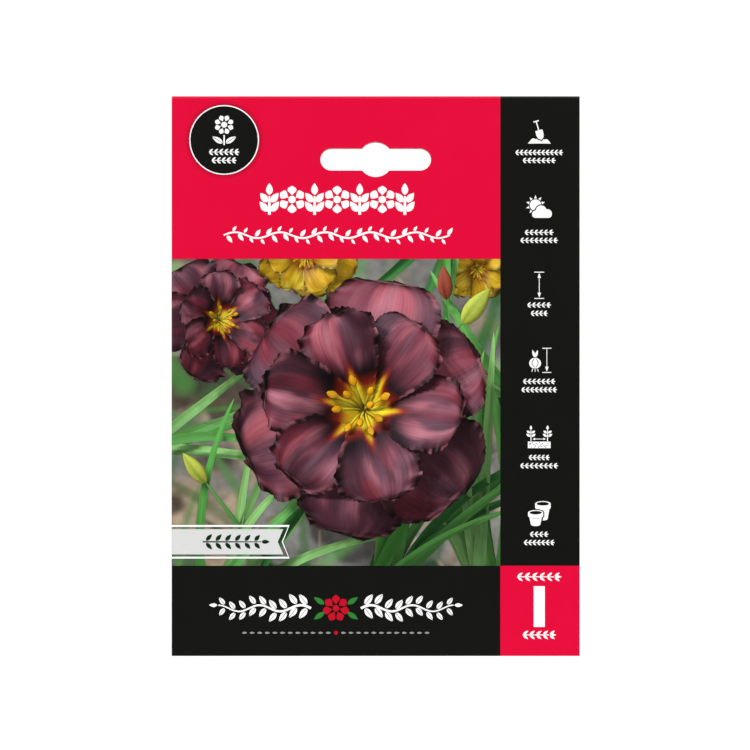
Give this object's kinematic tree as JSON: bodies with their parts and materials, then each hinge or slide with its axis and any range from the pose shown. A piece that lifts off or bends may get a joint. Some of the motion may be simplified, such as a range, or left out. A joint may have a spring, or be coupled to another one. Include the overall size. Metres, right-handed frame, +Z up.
{
  "type": "bare-root perennial hang pack",
  "caption": "Hang-sell pack: folded printed card with a euro slot, backed by a clear vented film pouch that holds a dormant bare-root daylily in packing fibre.",
  "frame": {"origin": "top middle of the hang slot, where a peg bears, on the card's front face", "axes": "+Z up the pack's height, -Y out of the printed front, +X to the right of someone who looks at the front"},
  "size_m": [0.118, 0.0283, 0.162],
  "materials": {
    "printed_board": "satin",
    "clear_film": "gloss",
    "packing_fibre": "matte",
    "root_flesh": "matte",
    "leaf_green": "satin"
  },
  "bodies": {
    "root": {"hang_card": "printed_board", "film_bag": "clear_film", "packing_fill": "packing_fibre", "crown_and_roots": "root_flesh", "leaf_fan_left": "leaf_green", "leaf_fan_right": "leaf_green"}
  },
  "joints": []
}
